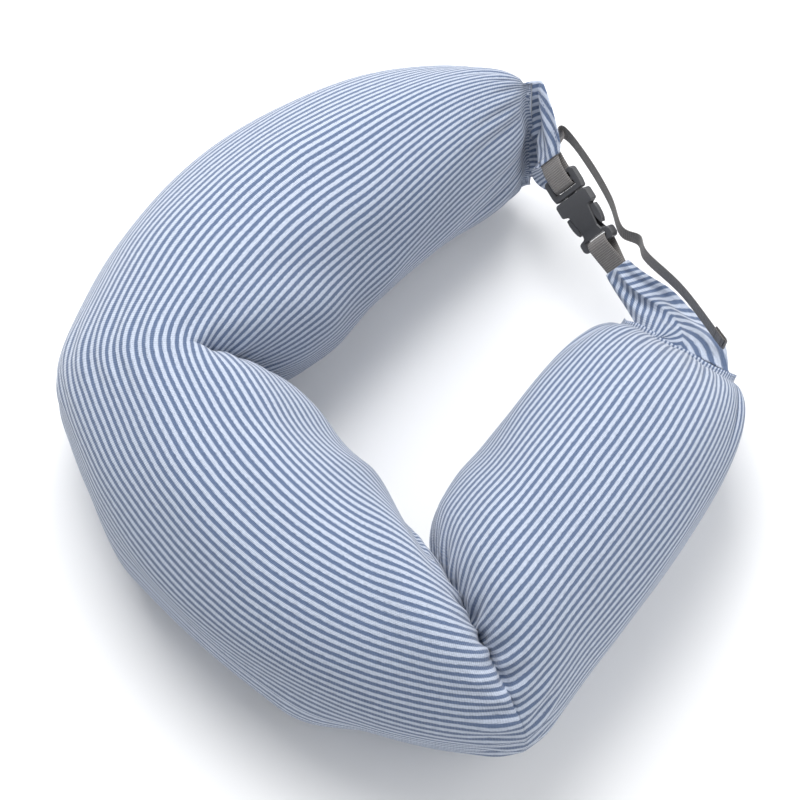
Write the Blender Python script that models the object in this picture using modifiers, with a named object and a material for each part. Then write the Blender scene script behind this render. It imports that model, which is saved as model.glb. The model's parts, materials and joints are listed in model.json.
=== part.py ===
"""A U shaped neck pillow: a soft tube bent at two elbows, closed by a side release buckle.

The pillow lies flat on z = 0 with its back along X and its two arms running towards -Y.
The wearer's left arm is at +X. The origin lies under the middle of the back's centre line.
Each joint's axis is the origin of an empty.
"""

import math

import bmesh
import bpy
from mathutils import Matrix, Vector

# Plan of the pillow: three arcs of the tube's centre line, in metres and radians.
# The back bows outwards between the elbows, and each arm curls in towards its end.
BACK_CHORD = 0.245
BACK_BOW = 0.033
LEFT_ARM_LENGTH = 0.290
LEFT_ARM_START = math.radians(-70)
LEFT_ARM_CURL = math.radians(-62)
LEFT_CREASE = math.radians(44)
RIGHT_ARM_LENGTH = 0.225
RIGHT_ARM_START = math.radians(-88)
RIGHT_ARM_CURL = math.radians(10)
RIGHT_CREASE = math.radians(158)
CENTRE_HEIGHT = 0.068

# Section of the stuffed tube, as half sizes.
ARM_HALF_WIDTH = 0.077
BACK_HALF_WIDTH = 0.074
ELBOW_HALF_WIDTH = 0.075
TUBE_HALF_HEIGHT = 0.072
END_HALF_THICKNESS = 0.006
END_HALF_LENGTH = 0.048
FLAT_TAPER = 3
LONG_TAPER = 6
TAPER_ROUNDNESS = 0.6
RING_POINTS = 24
ARM_STATIONS = (0.0, 0.12, 0.26, 0.4, 0.54, 0.68, 0.8, 0.9, 0.97, 1.0)
BACK_STATIONS = (0.0, 0.25, 0.5, 0.75)
TURN_LENGTH = 0.085

# Layers of the cushion, outermost first.
COVER_THICKNESS = 0.0020
LINER_THICKNESS = 0.0012
LAYER_GAP = 0.0006
JOINT_GAP = 0.0004

# The strap chain between the arm ends. Its frame sits in the buckle's mouth.
WEBBING_WIDTH = 0.015
WEBBING_THICKNESS = 0.0012
FLAP_THICKNESS = 0.0024
FLAP_BASE = 0.088
FLAP_TIP = 0.018
FLAP_START = 0.0015
FLAP_LEAVE = 0.28
FLAP_REACH = 0.45
FLAP_SPREAD = 0.75
SEWN_GAP = 0.0011
HEM_LENGTH = 0.010
HEM_GAP = 0.0004
MOUTH_FROM_LEFT_END = 0.0520
CHAIN_HEIGHT = 0.072
CHAIN_SLOPE = math.radians(11)
CHAIN_TWIST = math.radians(45)
LEFT_FLAP_TIP = -0.0268
RIGHT_FLAP_TIP = 0.0532

# Side release buckle for that webbing, in its own frame: x from the left arm to the right.
FEMALE_LENGTH = 0.036
FEMALE_THICKNESS = 0.0076
FEMALE_HALF_WIDTH = 0.0125
RING_LENGTH = 0.009
MALE_BACK = -0.016
MALE_FRONT = -0.0009
MALE_THICKNESS = 0.0056
MALE_HALF_WIDTH = 0.012
CAVITY_LENGTH = 0.0265
CAVITY_HALF_WIDTH = 0.0103
CAVITY_HEIGHT = 0.0052
PRONG_THICKNESS = 0.0044
PRONG_ROOT_Y = 0.0074
PRONG_ROOT_X = 0.0009
SLOT_HALF_WIDTH = 0.0082
CORNER = 0.0006
FEMALE_SLOT = (0.0296, 0.0328)
FEMALE_WAIST = 0.0085
MALE_SLOTS = {"outer_slot": (-0.0134, -0.0104), "inner_slot": (-0.0078, -0.0046)}
TONGUE_END = 0.015
TONGUE_HALF_WIDTH = 0.0024
TONGUE_HALF_HEIGHT = 0.0014
OVER_LADDER = 0.0037
OVER_BAR = 0.0047
CUT_DEPTH = 0.01

# Zip of the cover, in its own frame: x along the zip, z out of the cover.
ZIP_ANGLE = math.radians(-48)
ZIP_HALF_LENGTH = 0.060
ZIP_CLEARANCE = 0.0012
ZIP_SLIT_HALF = 0.004
ZIP_SLIT_DEPTH = 0.012
TAPE_WIDTH = 0.012
TAPE_THICKNESS = 0.0006
TAPE_MARGIN = 0.006
STOP_HALF_WIDTH = 0.0028
STOP_LENGTH = 0.0024
TOOTH_PITCH = 0.004
TOOTH_WIDTH = 0.0016
TOOTH_REACH = 0.0011
CORD_WIDTH = 0.0012
TEETH_HEIGHT = 0.0018
TEETH_CLEARANCE = 0.0003
SLIDER_LENGTH = 0.009
SLIDER_WIDTH = 0.0085
SLIDER_WALL = 0.0010
PULL_LENGTH = 0.022
PULL_WIDTH = 0.006
PULL_THICKNESS = 0.0012

Z_AXIS = Vector((0, 0, 1))


def clear_scene():
    for obj in list(bpy.data.objects):
        bpy.data.objects.remove(obj)


def new_collection(name):
    collection = bpy.data.collections.new(name)
    bpy.context.scene.collection.children.link(collection)
    return collection


def new_material(name, colour, roughness, metallic=0.0):
    material = bpy.data.materials.new(name)
    material.use_nodes = True
    shader = material.node_tree.nodes["Principled BSDF"]
    shader.inputs["Base Color"].default_value = (*colour, 1)
    shader.inputs["Roughness"].default_value = roughness
    shader.inputs["Metallic"].default_value = metallic
    return material


def new_empty(name, place, parent=None):
    """An empty on a joint's axis, or at the origin of a group's own frame, placed in the world."""
    empty = bpy.data.objects.new(name, None)
    empty.empty_display_size = 0.02
    PILLOW.objects.link(empty)
    empty.parent = parent
    empty.matrix_world = place
    bpy.context.view_layer.update()
    return empty


def new_part(name, mesh, material, parent=None, local=False):
    """Adds a mesh as a sub-part. Points given in the world are moved to the parent's frame."""
    if parent and not local:
        mesh.transform(parent.matrix_world.inverted())
    part = bpy.data.objects.new(name, mesh)
    part.data.materials.clear()
    part.data.materials.append(material)
    if parent:
        part.parent = parent
    PILLOW.objects.link(part)
    return part


def shade_smooth(part, degrees=40):
    part.data.shade_smooth()
    part.data.set_sharp_from_angle(angle=math.radians(degrees))


def mesh_from(build):
    """A mesh with outward normals from a function that fills a bmesh."""
    work = bmesh.new()
    build(work)
    bmesh.ops.remove_doubles(work, verts=work.verts, dist=1e-6)
    bmesh.ops.recalc_face_normals(work, faces=work.faces)
    mesh = bpy.data.meshes.new("mesh")
    work.to_mesh(mesh)
    work.free()
    return mesh


def bridge(work, first, second):
    """Quads between two rings with the same number of points."""
    for here in range(len(first)):
        there = (here + 1) % len(first)
        work.faces.new((first[here], first[there], second[there], second[here]))


def add_rings(work, rings):
    """Joins rings of points into a tube, and returns the first and last ring."""
    made = [[work.verts.new(point) for point in ring] for ring in rings]
    for first, second in zip(made, made[1:]):
        bridge(work, first, second)
    return made[0], made[-1]


def loft(rings):
    """A solid through a list of rings, with flat ends."""

    def build(work):
        start, end = add_rings(work, rings)
        work.faces.new(start)
        work.faces.new(end)

    return mesh_from(build)


def open_shell(outer_rings, inner_rings, closed_end):
    """A hollow wall between two lofts, open at its start, and at its end unless that is closed."""

    def build(work):
        outer_start, outer_end = add_rings(work, outer_rings)
        inner_start, inner_end = add_rings(work, inner_rings)
        bridge(work, outer_start, inner_start)
        if closed_end:
            work.faces.new(outer_end)
            work.faces.new(inner_end)
        else:
            bridge(work, outer_end, inner_end)

    return mesh_from(build)


class Arc:
    """A stretch of the tube's centre line, from an elbow's corner, that curves at a steady rate."""

    def __init__(self, corner, start, curl, length, side, crease):
        self.corner = corner
        self.start = start
        self.curl = curl
        self.length = length
        self.side = side
        self.crease = Vector((math.cos(crease), math.sin(crease), 0))

    def heading(self, along):
        angle = self.start + self.curl * along / self.length
        return Vector((math.cos(angle), math.sin(angle), 0))

    def point(self, along):
        first, now = self.heading(0), self.heading(along)
        radius = self.length / self.curl
        return self.corner + Vector((now.y - first.y, first.x - now.x, 0)) * radius

    def outward(self, along):
        heading = self.heading(along)
        return Vector((-heading.y, heading.x, 0)) * self.side

    def elbow_normal(self):
        """Square to the crease, pointing into this arc's side of it."""
        normal = Vector((-self.crease.y, self.crease.x, 0))
        return normal if normal.dot(self.heading(0)) > 0 else -normal

    def ring(self, along, half_width, half_height):
        """A section that turns from the elbow's crease to square across the tube."""
        turn = min(1, along / TURN_LENGTH)
        across = (self.crease * (1 - turn) + self.outward(along) * turn).normalized()
        centre = self.point(along) + Z_AXIS * CENTRE_HEIGHT
        if not along:
            centre += self.elbow_normal() * JOINT_GAP
        points = []
        for step in range(RING_POINTS):
            angle = math.tau * step / RING_POINTS
            side = across * math.cos(angle) * half_width
            point = centre + side + Z_AXIS * math.sin(angle) * half_height
            point.z = max(point.z, 0)
            points.append(point)
        return points


def arm_rings(arc, upright):
    """Sections from the elbow to the flattened seam at the arm's end, upright or level."""
    rings = []
    for station in ARM_STATIONS:
        flat = (1 - station**FLAT_TAPER) ** TAPER_ROUNDNESS
        long = (1 - station**LONG_TAPER) ** TAPER_ROUNDNESS
        wide, tall = (flat, long) if upright else (long, flat)
        end_width, end_height = END_HALF_THICKNESS, END_HALF_LENGTH
        if not upright:
            end_width, end_height = end_height, end_width
        full_width = ARM_HALF_WIDTH if station else ELBOW_HALF_WIDTH
        half_width = end_width + (full_width - end_width) * wide
        half_height = end_height + (TUBE_HALF_HEIGHT - end_height) * tall
        rings.append(arc.ring(station * arc.length, half_width, half_height))
    return rings


def back_rings(from_left, from_right):
    """Sections from the left elbow to the right one."""
    places = [(from_left, station) for station in (*BACK_STATIONS, 1)]
    places += [(from_right, station) for station in reversed(BACK_STATIONS)]
    rings = []
    for arc, station in places:
        half_width = BACK_HALF_WIDTH if station else ELBOW_HALF_WIDTH
        rings.append(arc.ring(station * arc.length, half_width, TUBE_HALF_HEIGHT))
    return rings


def inset_rings(rings, inset, end_normals):
    """The same sections moved inwards. At each end the points stay on their side of a plane."""
    last = len(rings) - 1
    moved = []
    for index, ring in enumerate(rings):
        before, after = rings[max(index - 1, 0)], rings[min(index + 1, last)]
        middle = sum(ring, Vector()) / RING_POINTS
        points = []
        for here, point in enumerate(ring):
            around = ring[(here + 1) % RING_POINTS] - ring[here - 1]
            normal = around.cross(after[here] - before[here]).normalized()
            if normal.dot(point - middle) < 0:
                normal = -normal
            step = -normal * inset
            if index in end_normals:
                end_normal, recess = end_normals[index]
                step += end_normal * (max(0, -step.dot(end_normal)) + recess * inset)
            place = point + step
            place.z = max(place.z, inset)
            points.append(place)
        moved.append(points)
    return moved


def add_cushion(name, rings, end_normals, parent):
    """The three layers of one section: cover, liner bag and bead filling."""
    closed_end = len(rings) - 1 in end_normals and end_normals[len(rings) - 1][1] > 0
    liner = COVER_THICKNESS + LAYER_GAP
    beads = liner + LINER_THICKNESS + LAYER_GAP
    layers = (COVER_THICKNESS, liner, liner + LINER_THICKNESS, beads)
    cover_in, liner_out, liner_in, fill = (inset_rings(rings, at, end_normals) for at in layers)
    cover = new_part(f"cover_{name}", open_shell(rings, cover_in, closed_end), JERSEY, parent)
    new_part(f"liner_{name}", open_shell(liner_out, liner_in, closed_end), LINER, parent)
    new_part(f"bead_fill_{name}", loft(fill), BEADS, parent)
    return cover


def ribbon(stations):
    """A flat band through (centre, width direction, width, thickness) stations."""
    rings = []
    last = len(stations) - 1
    for index, (centre, across, width, thickness) in enumerate(stations):
        before = (centre - stations[max(index - 1, 0)][0]).normalized()
        after = (stations[min(index + 1, last)][0] - centre).normalized()
        tangent = (before + after).normalized()
        mitre = max(tangent.dot(after if index < last else before), 0.5)
        normal = tangent.cross(across).normalized() * thickness / 2 / mitre
        side = across.normalized() * width / 2
        rings.append([centre + side + normal, centre + side - normal])
        rings[-1] += [centre - side - normal, centre - side + normal]
    return loft(rings)


def smooth_path(points, steps):
    """Points on a Catmull-Rom curve through the given points."""
    path = []
    ends = [points[0] * 2 - points[1], *points, points[-1] * 2 - points[-2]]
    for before, start, end, after in zip(ends, ends[1:], ends[2:], ends[3:]):
        for step in range(steps):
            u = step / steps
            bend = (before * 2 - start * 5 + end * 4 - after) * u * u
            cubic = (start * 3 - before - end * 3 + after) * u**3
            path.append((start * 2 + (end - before) * u + bend + cubic) / 2)
    path.append(points[-1])
    return path


def flap_stations(seam, heading, base_across, tip, tip_heading, tip_across):
    """A flap that leaves an arm's end, turns to the strap and twists until it lies with it."""
    steps = 8
    leave = (tip - seam).length * FLAP_LEAVE
    reach = (tip - seam).length * FLAP_REACH
    stations = []
    for step in range(steps + 1):
        u = step / steps
        centre = seam * (1 - u) ** 3 + (seam + heading * leave) * 3 * u * (1 - u) ** 2
        centre += (tip - tip_heading * reach) * 3 * u * u * (1 - u) + tip * u**3
        across = base_across.lerp(tip_across, u**3)
        width = FLAP_BASE + (FLAP_TIP - FLAP_BASE) * u**FLAP_SPREAD
        stations.append((centre, across, width, FLAP_THICKNESS))
    return stations


def outline_mesh(points, thickness):
    """A flat outline in the XY plane, given thickness to both sides of it."""
    curve = bpy.data.curves.new("outline", "CURVE")
    curve.dimensions = "2D"
    curve.fill_mode = "BOTH"
    curve.extrude = thickness / 2
    spline = curve.splines.new("POLY")
    spline.points.add(len(points) - 1)
    for point, (x, y) in zip(spline.points, points):
        point.co = (x, y, 0, 1)
    spline.use_cyclic_u = True
    guide = bpy.data.objects.new("outline", curve)
    bpy.context.scene.collection.objects.link(guide)
    graph = bpy.context.evaluated_depsgraph_get()
    mesh = bpy.data.meshes.new_from_object(guide.evaluated_get(graph))
    bpy.data.objects.remove(guide)
    work = bmesh.new()
    work.from_mesh(mesh)
    bmesh.ops.remove_doubles(work, verts=work.verts, dist=1e-6)
    bmesh.ops.recalc_face_normals(work, faces=work.faces)
    work.to_mesh(mesh)
    work.free()
    return mesh


def box_mesh(low, high):
    """A box between two corners."""

    def build(work):
        size = Vector(high) - Vector(low)
        middle = (Vector(high) + Vector(low)) / 2
        place = Matrix.Translation(middle) @ Matrix.Diagonal((*size, 1))
        bmesh.ops.create_cube(work, size=1, matrix=place)

    return mesh_from(build)


def mirrored(points):
    """Closes an outline whose +Y half is given from one end to the other."""
    return points + [(x, -y) for x, y in reversed(points)]


def combine(part, operation, mesh, name):
    """Adds a mesh to a part, or cuts it away, with a tool object that isn't rendered."""
    tool = bpy.data.objects.new(f"{part.name}_{name}", mesh)
    tool.hide_render = True
    tool.display_type = "WIRE"
    tool.parent = part.parent
    CUTTERS.objects.link(tool)
    modifier = part.modifiers.new(name, "BOOLEAN")
    modifier.operation = operation
    modifier.object = tool


def soften(part, width=CORNER):
    modifier = part.modifiers.new("rounded_edges", "BEVEL")
    modifier.width = width
    modifier.segments = 1
    modifier.limit_method = "ANGLE"
    modifier.angle_limit = math.radians(35)


def slot_mesh(start, end):
    """A cutter for a slot across the buckle that the webbing passes through."""
    low = (start, -SLOT_HALF_WIDTH, -CUT_DEPTH)
    return box_mesh(low, (end, SLOT_HALF_WIDTH, CUT_DEPTH))


def add_female(parent):
    """Female half: mouth ring, two plates with open sides, and a bar for the fixed webbing."""
    half, waist = FEMALE_HALF_WIDTH, FEMALE_WAIST
    outline = mirrored(
        [
            (0, half - 0.001),
            (0.001, half),
            (RING_LENGTH, half),
            (RING_LENGTH + 0.0016, waist),
            (0.024, waist - 0.002),
            (0.0275, waist - 0.001),
            (0.0285, half - 0.001),
            (0.0295, half - 0.0003),
            (FEMALE_LENGTH - 0.0015, half - 0.0003),
            (FEMALE_LENGTH, half - 0.0018),
        ]
    )
    mesh = outline_mesh(outline, FEMALE_THICKNESS)
    female = new_part("buckle_female", mesh, PLASTIC, parent, local=True)
    soften(female)
    wide, high = CAVITY_HALF_WIDTH, CAVITY_HEIGHT / 2
    cavity = box_mesh((-0.001, -wide, -high), (CAVITY_LENGTH, wide, high))
    combine(female, "DIFFERENCE", cavity, "cavity")
    combine(female, "DIFFERENCE", slot_mesh(*FEMALE_SLOT), "slot")


def add_male(parent):
    """Male half: ladder with two slots for the adjustable webbing, and a guide tongue."""
    half = MALE_HALF_WIDTH
    outline = mirrored(
        [
            (MALE_BACK, half - 0.0015),
            (MALE_BACK + 0.0015, half),
            (MALE_FRONT - 0.004, half),
            (MALE_FRONT, half - 0.0008),
        ]
    )
    mesh = outline_mesh(outline, MALE_THICKNESS)
    male = new_part("buckle_male", mesh, PLASTIC, parent, local=True)
    soften(male)
    for name, (start, end) in MALE_SLOTS.items():
        combine(male, "DIFFERENCE", slot_mesh(start, end), name)
    wide, high = TONGUE_HALF_WIDTH, TONGUE_HALF_HEIGHT
    tongue = box_mesh((MALE_FRONT - 0.002, -wide, -high), (TONGUE_END, wide, high))
    combine(male, "UNION", tongue, "tongue")


def add_prong(name, side, parent):
    """A sprung prong: a thin root, then a pad whose shoulder catches behind the mouth ring."""
    offset = Matrix.Translation((PRONG_ROOT_X, side * PRONG_ROOT_Y, 0))
    root = new_empty(f"{name}_axis", parent.matrix_world @ offset, parent)
    outline = [
        (-0.0006, 0.0060),
        (0.0120, 0.0064),
        (0.0190, 0.0072),
        (0.0242, 0.0084),
        (0.0246, 0.0096),
        (0.0225, 0.0108),
        (0.0190, 0.0117),
        (0.0150, 0.0120),
        (0.0116, 0.0117),
        (0.0112, 0.0088),
        (-0.0006, 0.0088),
    ]
    points = [(x - PRONG_ROOT_X, side * (y - PRONG_ROOT_Y)) for x, y in outline]
    prong = new_part(name, outline_mesh(points, PRONG_THICKNESS), PLASTIC, root, local=True)
    soften(prong, CORNER / 2)


def strap_point(x, z):
    return STRAP_PLACE @ Vector((x, 0, z))


def loop_stations(path):
    """Webbing stations for a path in the strap frame's XZ plane, as wide as the webbing."""
    across = STRAP_PLACE.to_3x3() @ Vector((0, 1, 0))
    return [(strap_point(x, z), across, WEBBING_WIDTH, WEBBING_THICKNESS) for x, z in path]


def tail_point(along, outward, height):
    """A point by its distance along the line of the arm ends, outside it, and over the floor."""
    return LEFT_END + CHAIN * along + OUTSIDE * outward + Z_AXIS * height


def add_adjustable_strap(parent):
    """Webbing from the left flap's face, round the ladder's bars, and back as the loose tail."""
    over_flap = (FLAP_THICKNESS + WEBBING_THICKNESS) / 2 + SEWN_GAP
    loop = [
        (-0.0285, over_flap),
        (-0.0260, over_flap),
        (-0.0180, OVER_LADDER),
        (-0.0072, OVER_LADDER),
        (-0.0060, 0.0026),
        (-0.0060, -0.0026),
        (-0.0072, -OVER_LADDER),
        (-0.0180, -OVER_LADDER),
        (-0.0260, -over_flap),
    ]
    stations = loop_stations(loop)
    tail = smooth_path(
        [
            strap_point(-0.0260, -over_flap),
            strap_point(-0.0310, -over_flap - 0.0016),
            tail_point(0.0135, 0.0150, 0.066),
            tail_point(0.0075, 0.0190, 0.066),
            tail_point(0.0150, 0.0230, 0.066),
            tail_point(0.042, 0.0225, 0.068),
            tail_point(0.066, 0.0205, 0.066),
            tail_point(0.090, 0.0160, 0.060),
            tail_point(0.104, 0.0190, 0.056),
            tail_point(0.136, 0.0225, 0.058),
            tail_point(0.178, 0.0250, 0.054),
        ],
        4,
    )
    twist_points = 10
    start_across = stations[-1][1]
    for index, point in enumerate(tail[1:], 1):
        across = start_across.lerp(Z_AXIS, min(1, index / twist_points))
        stations.append((point, across, WEBBING_WIDTH, WEBBING_THICKNESS))
    new_part("strap_adjustable", ribbon(stations), WEBBING, parent)
    end = (tail[-1] - tail[-2]).normalized()
    back_face = end.cross(Z_AXIS).normalized() * (WEBBING_THICKNESS + HEM_GAP)
    hem = [
        (tail[-1] - end * shift + back_face, Z_AXIS, WEBBING_WIDTH, WEBBING_THICKNESS)
        for shift in (HEM_LENGTH, 0)
    ]
    new_part("strap_end_fold", ribbon(hem), WEBBING, parent)


def add_fixed_strap(parent):
    """Short webbing folded round the female half's bar and sewn over the right flap's tip."""
    over_flap = (FLAP_THICKNESS + WEBBING_THICKNESS) / 2 + SEWN_GAP
    half = [
        (0.0548, over_flap),
        (0.0520, over_flap),
        (0.0380, OVER_BAR),
        (0.0322, OVER_BAR),
        (0.0310, 0.0036),
    ]
    path = half + [(x, -z) for x, z in reversed(half)]
    new_part("strap_fixed", ribbon(loop_stations(path)), WEBBING, parent)


def add_flaps(left_parent, right_parent):
    across = STRAP_PLACE.to_3x3() @ Vector((0, 1, 0))
    along = STRAP_PLACE.to_3x3() @ Vector((1, 0, 0))
    sides = (
        ("flap_left", LEFT, Z_AXIS, LEFT_FLAP_TIP, along, left_parent),
        ("flap_right", RIGHT, RIGHT.outward(RIGHT.length), RIGHT_FLAP_TIP, -along, right_parent),
    )
    for name, arm, base_across, tip, tip_heading, parent in sides:
        heading = arm.heading(arm.length)
        seam = arm.point(arm.length) + heading * FLAP_START + Z_AXIS * CENTRE_HEIGHT
        tip_place = strap_point(tip, 0)
        stations = flap_stations(seam, heading, base_across, tip_place, tip_heading, across)
        new_part(name, ribbon(stations), JERSEY, parent)


def teeth_outline(side, offset):
    """A cord with a comb of teeth that reach over the zip's middle line."""
    cord_in = TOOTH_REACH / 2 + TEETH_CLEARANCE
    cord_out = cord_in + CORD_WIDTH
    points = [(-ZIP_HALF_LENGTH, side * cord_out), (-ZIP_HALF_LENGTH, side * cord_in)]
    count = int(2 * ZIP_HALF_LENGTH / TOOTH_PITCH) - 1
    for tooth in range(count):
        start = -ZIP_HALF_LENGTH + TOOTH_PITCH * (tooth + 0.3) + offset
        tip = -side * TOOTH_REACH / 2
        points += [(start, side * cord_in), (start, tip)]
        points += [(start + TOOTH_WIDTH, tip), (start + TOOTH_WIDTH, side * cord_in)]
    points += [(ZIP_HALF_LENGTH, side * cord_in), (ZIP_HALF_LENGTH, side * cord_out)]
    return points


def add_zip(back_cover):
    """Two tapes, two rows of teeth, a slider with its pull tab, and the two end stops."""
    surface = Vector((0, BACK_HALF_WIDTH * math.cos(ZIP_ANGLE), CENTRE_HEIGHT))
    surface.z += TUBE_HALF_HEIGHT * math.sin(ZIP_ANGLE)
    normal = Vector((0, math.cos(ZIP_ANGLE), math.sin(ZIP_ANGLE)))
    turn = Matrix.Rotation(ZIP_ANGLE - math.pi / 2, 4, "X")
    frame = new_empty("zip_frame", Matrix.Translation(surface + normal * ZIP_CLEARANCE) @ turn)
    low = TAPE_THICKNESS
    high = low + TEETH_CLEARANCE + TEETH_HEIGHT
    reach = ZIP_HALF_LENGTH + TAPE_MARGIN
    for name, side, offset in (("upper", -1, 0), ("lower", 1, TOOTH_PITCH / 2)):
        edges = sorted((side * TEETH_CLEARANCE, side * (TAPE_WIDTH + TEETH_CLEARANCE)))
        tape = box_mesh((-reach, edges[0], 0), (reach, edges[1], low))
        new_part(f"zip_tape_{name}", tape, TAPE, frame, local=True)
        teeth = outline_mesh(teeth_outline(side, offset), TEETH_HEIGHT)
        teeth.transform(Matrix.Translation((0, 0, high - TEETH_HEIGHT / 2)))
        new_part(f"zip_teeth_{name}", teeth, TEETH, frame, local=True)
    stop_start = ZIP_HALF_LENGTH + CORNER
    for name, end in (("closed_end", -1), ("open_end", 1)):
        edges = sorted((end * stop_start, end * (stop_start + STOP_LENGTH)))
        low_corner = (edges[0], -STOP_HALF_WIDTH, low + TEETH_CLEARANCE)
        stop = box_mesh(low_corner, (edges[1], STOP_HALF_WIDTH, high))
        part = new_part(f"zip_stop_{name}", stop, METAL, frame, local=True)
        soften(part, CORNER / 2)
    add_slider(frame, high)
    low_corner = (-ZIP_HALF_LENGTH, -ZIP_SLIT_HALF, -ZIP_SLIT_DEPTH)
    opening = box_mesh(low_corner, (ZIP_HALF_LENGTH, ZIP_SLIT_HALF, ZIP_SLIT_HALF))
    opening.transform(frame.matrix_world)
    combine(back_cover, "DIFFERENCE", opening, "zip_opening")


def add_slider(frame, teeth_top):
    """The slider rides over the teeth, and its pull tab turns on a bridge across it."""
    start = -ZIP_HALF_LENGTH + 0.001 + SLIDER_LENGTH / 2
    offset = Matrix.Translation((start, 0, 0))
    axis = new_empty("zip_slider_axis", frame.matrix_world @ offset, frame)
    half_length, half_width = SLIDER_LENGTH / 2, SLIDER_WIDTH / 2
    foot = TAPE_THICKNESS + TEETH_CLEARANCE
    top = teeth_top + TEETH_CLEARANCE + SLIDER_WALL
    outline = mirrored(
        [
            (-half_length, half_width * 0.7),
            (-half_length * 0.6, half_width),
            (half_length * 0.4, half_width),
            (half_length, half_width * 0.55),
        ]
    )
    body = outline_mesh(outline, top - foot)
    body.transform(Matrix.Translation((0, 0, (top + foot) / 2)))
    slider = new_part("zip_slider", body, METAL, axis, local=True)
    soften(slider, CORNER / 2)
    channel_half = TOOTH_REACH / 2 + CORD_WIDTH + 2 * TEETH_CLEARANCE
    channel_top = teeth_top + TEETH_CLEARANCE
    channel = box_mesh((-0.02, -channel_half, -0.001), (0.02, channel_half, channel_top))
    combine(slider, "DIFFERENCE", channel, "channel")
    bridge_top = top + 0.0026
    bridge_mesh = box_mesh((-0.0030, -0.0006, top - 0.0005), (0.0030, 0.0006, bridge_top))
    combine(slider, "UNION", bridge_mesh, "bridge")
    eye_top = bridge_top - 0.0007
    eye = box_mesh((-0.0018, -CUT_DEPTH, top + 0.0002), (0.0018, CUT_DEPTH, eye_top))
    combine(slider, "DIFFERENCE", eye, "eye")
    add_pull(axis, top + 0.0010)


def add_pull(slider_axis, height):
    """A tab with a square eye, whose crossbar passes under the slider's bridge."""
    offset = Matrix.Translation((0, 0, height))
    axis = new_empty("zip_pull_axis", slider_axis.matrix_world @ offset, slider_axis)
    half = PULL_WIDTH / 2
    outline = mirrored(
        [
            (-0.0006, half - 0.0012),
            (0.0006, half - 0.0006),
            (0.0050, half),
            (PULL_LENGTH - 0.002, half),
            (PULL_LENGTH, half - 0.002),
        ]
    )
    mesh = outline_mesh(outline, PULL_THICKNESS)
    pull = new_part("zip_pull", mesh, METAL, axis, local=True)
    eye = box_mesh((0.0006, -0.0013, -CUT_DEPTH), (0.0045, 0.0013, CUT_DEPTH))
    combine(pull, "DIFFERENCE", eye, "eye")


clear_scene()
PILLOW = new_collection("neck_pillow")
CUTTERS = new_collection("cutters")

JERSEY = new_material("striped_jersey", (0.36, 0.43, 0.56), 0.9)
LINER = new_material("liner_cotton", (0.80, 0.80, 0.78), 0.9)
BEADS = new_material("micro_beads", (0.90, 0.90, 0.90), 0.6)
WEBBING = new_material("webbing", (0.18, 0.17, 0.165), 0.85)
PLASTIC = new_material("buckle_plastic", (0.065, 0.066, 0.070), 0.45)
TAPE = new_material("zip_tape", (0.25, 0.30, 0.41), 0.85)
TEETH = new_material("zip_teeth", (0.23, 0.28, 0.38), 0.4)
METAL = new_material("zip_metal", (0.45, 0.46, 0.48), 0.35, 1.0)

# The back's arc is taken as two halves that meet in the middle.
left_corner = Vector((BACK_CHORD / 2, -BACK_BOW, 0))
right_corner = Vector((-BACK_CHORD / 2, -BACK_BOW, 0))
bow = 2 * math.atan(2 * BACK_BOW / BACK_CHORD)
half_back = bow * BACK_CHORD / 2 / math.sin(bow)
BACK_FROM_LEFT = Arc(left_corner, math.pi - bow, bow, half_back, -1, LEFT_CREASE)
BACK_FROM_RIGHT = Arc(right_corner, bow, -bow, half_back, 1, RIGHT_CREASE)
LEFT = Arc(left_corner, LEFT_ARM_START, LEFT_ARM_CURL, LEFT_ARM_LENGTH, 1, LEFT_CREASE)
RIGHT = Arc(right_corner, RIGHT_ARM_START, RIGHT_ARM_CURL, RIGHT_ARM_LENGTH, -1, RIGHT_CREASE)
LEFT_END = LEFT.point(LEFT_ARM_LENGTH)
RIGHT_END = RIGHT.point(RIGHT_ARM_LENGTH)
CHAIN = (RIGHT_END - LEFT_END).normalized()
OUTSIDE = Vector((-CHAIN.y, CHAIN.x, 0))

# Each arm turns about its elbow's outer corner, and each strap about its arm's end seam.
axis_height = Z_AXIS * CENTRE_HEIGHT
left_hinge = left_corner + LEFT.crease * ELBOW_HALF_WIDTH + axis_height
right_hinge = right_corner + RIGHT.crease * ELBOW_HALF_WIDTH + axis_height
ARM_LEFT = new_empty("arm_left_axis", Matrix.Translation(left_hinge))
ARM_RIGHT = new_empty("arm_right_axis", Matrix.Translation(right_hinge))
left_seam = Matrix.Translation(LEFT_END + axis_height)
right_seam = Matrix.Translation(RIGHT_END + axis_height)
STRAP_LEFT = new_empty("strap_left_axis", left_seam, ARM_LEFT)
STRAP_RIGHT = new_empty("strap_right_axis", right_seam, ARM_RIGHT)

# The strap's frame: x along the strap, y across the webbing, z out of its face.
strap_x = CHAIN * math.cos(CHAIN_SLOPE) - Z_AXIS * math.sin(CHAIN_SLOPE)
level_y = Z_AXIS.cross(strap_x).normalized()
level_z = strap_x.cross(level_y)
strap_y = level_y * math.cos(CHAIN_TWIST) + level_z * math.sin(CHAIN_TWIST)
strap_z = strap_x.cross(strap_y)
axes = Matrix((strap_x, strap_y, strap_z)).transposed().to_4x4()
mouth = LEFT_END + CHAIN * MOUTH_FROM_LEFT_END + Z_AXIS * CHAIN_HEIGHT
STRAP_PLACE = Matrix.Translation(mouth) @ axes
MALE_FRAME = new_empty("male_frame", STRAP_PLACE, STRAP_LEFT)
FEMALE_FRAME = new_empty("female_frame", STRAP_PLACE, STRAP_RIGHT)

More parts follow.
